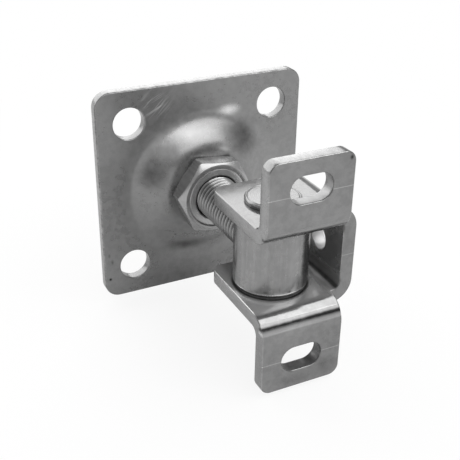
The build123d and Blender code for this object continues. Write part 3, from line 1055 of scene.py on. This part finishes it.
def wall_marks(finish, x, y, height):
    """Rough walls in the web's hole and in both slots, with painted light and painted shade in their grey.
    """
    hole = finish.reach(y, height, (PIN_Y, 0.0))
    in_hole = finish.where(finish.fade(hole, WEB_HOLE + 2 * WALL_REACH, WEB_HOLE + WALL_REACH),
                           finish.fade(x, BARREL_RADIUS, BARREL_RADIUS + 1.0))
    # Painted light on the wall of the web's hole, which is also rougher.
    finish.mark(in_hole, grey=0.35, roughness=0.35)
    in_sheet = finish.fade(y, FLANGE_FACE + 4 * SKIN, FLANGE_FACE + 8 * SKIN)
    from_slot = finish.math("ABSOLUTE", finish.math("SUBTRACT", x, SLOT_X))
    past_spine = finish.math("MAXIMUM", finish.math("SUBTRACT", from_slot, SLOT_HALF), 0.0)
    # Painted light on the upper slot's walls and painted shade on the lower's; the tearing is real.
    for slot_height, grey in SLOT_WALLS:
        slot = finish.reach(past_spine, height, (0.0, slot_height))
        in_slot = finish.fade(slot, SLOT_RADIUS + WALL_REACH, SLOT_RADIUS + SKIN)
        torn = finish.where(in_slot, in_sheet, finish.noise(260, detail=4))
        finish.mark(torn, grey=grey, roughness=0.5, height=0.2)


def bracket_zinc():
    """Zinc on the bracket. Its marks go by x, y and the height above the bracket's middle."""
    finish = zinc("zinc_on_folded_bracket", 0.19, 0.1)
    x, y = finish.place("X"), finish.place("Y")
    height = finish.math("SUBTRACT", finish.place("Z"), BRACKET_MIDDLE)
    from_middle = finish.math("ABSOLUTE", height)
    flange_and_edge_marks(finish, x, y, height, from_middle)
    inner_marks(finish, x, y, height, from_middle)
    wall_marks(finish, x, y, height)
    fold_marks(finish, y, height, from_middle)
    finish.done(bracket, bump=0.5)


bracket_zinc()

# %% [markdown]
# ## Camera
# The camera's place was solved from the edges and holes in the photograph. It stands to the left
# and above, and looks at a point between the plate and the bracket.

# %% Camera
VIEW_AZIMUTH = -26.67
VIEW_ELEVATION = 28.01
VIEW_ROLL = 0.85
VIEW_DISTANCE = 365.99
VIEW_LENS = 64.79
VIEW_FILM = 36.0
VIEW_POINT = (0.0, -33.333, 0.0)
VIEW_RIGHT, VIEW_UP = 0.38, -9.70


def aimed_camera():
    """Back, right and up are the camera's axes: azimuth turns them about Z, elevation tips them."""
    a, e, roll = radians(VIEW_AZIMUTH), radians(VIEW_ELEVATION), radians(VIEW_ROLL)
    back = Vector((np.sin(a) * np.cos(e), -np.cos(a) * np.cos(e), np.sin(e)))
    right = Vector((np.cos(a), np.sin(a), 0))
    up = back.cross(right)
    aim = Vector(VIEW_POINT) + right * VIEW_RIGHT + up * VIEW_UP
    rolled_right = right * np.cos(roll) + up * np.sin(roll)
    rolled_up = up * np.cos(roll) - right * np.sin(roll)
    camera = bpy.data.objects.new("camera", bpy.data.cameras.new("camera"))
    turn = Matrix((rolled_right, rolled_up, back)).transposed().to_4x4()
    camera.matrix_world = Matrix.Translation((aim + back * VIEW_DISTANCE) * MM) @ turn
    camera.data.lens = VIEW_LENS
    camera.data.sensor_width = VIEW_FILM
    bpy.context.collection.objects.link(camera)
    print("camera at", [round(v, 3) for v in camera.matrix_world.translation])
    return camera


bpy.context.scene.camera = aimed_camera()

# %% [markdown]
# ## Floor
# Bare metal shows what stands around it, so the surroundings make the look. Upright faces mirror
# the pale floor in front of the hinge. The camera sees the floor as white, with a faint share of
# the hinge's shadow near it. In reflections the floor is white further out as well, and dimmed
# close under the hinge by a painted shadow, which would otherwise mirror too much light from below.

# %% Node helpers for floor and world
def combined(tree, operation, first, second):
    """Two sockets put together by a Math node."""
    node = tree.nodes.new("ShaderNodeMath")
    node.operation = operation
    tree.links.new(first, node.inputs[0])
    tree.links.new(second, node.inputs[1])
    return node.outputs[0]


def ray_is(tree, *kinds):
    """1 for a ray of one of the named kinds, otherwise 0."""
    path = tree.nodes.new("ShaderNodeLightPath").outputs
    share = path[kinds[0]]
    for kind in kinds[1:]:
        share = combined(tree, "MAXIMUM", share, path[kind])
    return share


# %% Floor
FLOOR_DROP = 2.0
FLOOR_LEVEL = cad_box[0][2] - FLOOR_DROP * MM
FLOOR_REACH = 3.0
FLOOR_GREY = 0.85
FLOOR_ROUGH = 0.9
SHADOW_SHARE, SHADOW_FROM, SHADOW_TO = 0.12, 100.0, 350.0
NEAR_DIM, NEAR_FROM, NEAR_TO = 0.25, 50.0, 230.0


def away_from_hinge(tree, low, start, end):
    """Rises from low close under the hinge to 1 further out, by the floor's own coordinates."""
    distance = tree.nodes.new("ShaderNodeVectorMath")
    distance.operation = "DISTANCE"
    tree.links.new(tree.nodes.new("ShaderNodeTexCoord").outputs["Object"], distance.inputs[0])
    distance.inputs[1].default_value = (0, (cad_box[0][1] + cad_box[1][1]) / 2, FLOOR_LEVEL)
    ramp = tree.nodes.new("ShaderNodeMapRange")
    ramp.interpolation_type = "SMOOTHSTEP"
    tree.links.new(distance.outputs["Value"], ramp.inputs["Value"])
    for name, number in (("From Min", start * MM), ("From Max", end * MM), ("To Min", low)):
        ramp.inputs[name].default_value = number
    return ramp.outputs["Result"]


def floor_material():
    """A matt floor mixed with plain white light, by the kind of ray and the distance."""
    material = bpy.data.materials.new("pale_floor")
    material.use_nodes = True
    tree = material.node_tree
    matt = tree.nodes["Principled BSDF"]
    matt.inputs["Base Color"].default_value = (FLOOR_GREY, FLOOR_GREY, FLOOR_GREY, 1)
    matt.inputs["Roughness"].default_value = FLOOR_ROUGH
    seen = combined(tree, "MULTIPLY", ray_is(tree, "Is Camera Ray"),
                    away_from_hinge(tree, 1 - SHADOW_SHARE, SHADOW_FROM, SHADOW_TO))
    mirrored = combined(tree, "MULTIPLY", ray_is(tree, "Is Glossy Ray", "Is Transmission Ray"),
                        away_from_hinge(tree, NEAR_DIM, NEAR_FROM, NEAR_TO))
    mix = tree.nodes.new("ShaderNodeMixShader")
    tree.links.new(combined(tree, "MAXIMUM", seen, mirrored), mix.inputs[0])
    tree.links.new(matt.outputs[0], mix.inputs[1])
    tree.links.new(tree.nodes.new("ShaderNodeEmission").outputs[0], mix.inputs[2])
    tree.links.new(mix.outputs[0], tree.nodes["Material Output"].inputs["Surface"])
    return material


def make_floor():
    """A wide pale square just under the object."""
    corners = [(x * FLOOR_REACH, y * FLOOR_REACH, FLOOR_LEVEL)
               for x, y in ((-1, -1), (1, -1), (1, 1), (-1, 1))]
    mesh = bpy.data.meshes.new("floor")
    mesh.from_pydata(corners, [], [(0, 1, 2, 3)])
    mesh.materials.append(floor_material())
    floor = bpy.data.objects.new("floor", mesh)
    bpy.context.collection.objects.link(floor)
    print("floor at z", round(FLOOR_LEVEL, 4), "m")


make_floor()

# %% [markdown]
# ## World
# Past the floor's edge the camera looks at plain white, as on a product photograph. The metal
# mirrors a grey room instead, which keeps the faces between the lights from turning white.

# %% World
ROOM_GREY = 0.42


def make_world():
    """A plain grey room above the floor; white where the camera looks past the floor."""
    world = bpy.data.worlds.new("studio")
    bpy.context.scene.world = world
    world.use_nodes = True
    tree = world.node_tree
    mix = tree.nodes.new("ShaderNodeMix")
    mix.data_type = "RGBA"
    tree.links.new(ray_is(tree, "Is Camera Ray"), mix.inputs["Factor"])
    room, white = [socket for socket in mix.inputs if socket.type == "RGBA"]
    room.default_value = (ROOM_GREY, ROOM_GREY, ROOM_GREY, 1)
    white.default_value = (1, 1, 1, 1)
    result = next(socket for socket in mix.outputs if socket.type == "RGBA")
    tree.links.new(result, tree.nodes["Background"].inputs["Color"])
    print("room grey", ROOM_GREY)


make_world()

# %% [markdown]
# ## Lamps
# A soft box is a lit panel, and metal shows it as a bright patch with soft edges. One stands behind
# the hinge, where all faces that look up mirror it. One stands high on the right and one in front,
# for the faces that look away from the first.

# %% Lamps
LAMP_DISTANCE = 750.0
LAMP_AIM = (0.0, -40.0, 0.0)
# Each box has its name, azimuth, elevation, width and height, and level.
SOFT_BOXES = [("back_box", -8, 28, 1300, 600, 2.3),
              ("key_box", 110, 60, 450, 350, 3.6),
              ("front_box", 160, 39, 760, 450, 2.7)]


def soft_box(name, azimuth, elevation, width, height, level):
    """A soft box seen from the hinge at an azimuth from +Y towards +X and an elevation, in degrees.
    Its size is in millimetres and its level is its brightness, where the white floor is 1."""
    lamp = bpy.data.lights.new(name, "AREA")
    lamp.shape = "RECTANGLE"
    lamp.size, lamp.size_y = width * MM, height * MM
    lamp.energy = level * pi * lamp.size * lamp.size_y
    a, e = radians(azimuth), radians(elevation)
    away = Vector((np.sin(a) * np.cos(e), np.cos(a) * np.cos(e), np.sin(e)))
    box = bpy.data.objects.new(name, lamp)
    box.location = (Vector(LAMP_AIM) + away * LAMP_DISTANCE) * MM
    box.rotation_mode = "QUATERNION"
    box.rotation_quaternion = (-away).to_track_quat("-Z", "Y")
    bpy.context.collection.objects.link(box)
    print(name, round(lamp.energy, 2), "watts")


for box_values in SOFT_BOXES:
    soft_box(*box_values)

# %% [markdown]
# ## View
# The scene's colours are shown through the Standard view transform.

# %% View transform
bpy.context.scene.view_settings.view_transform = "Standard"
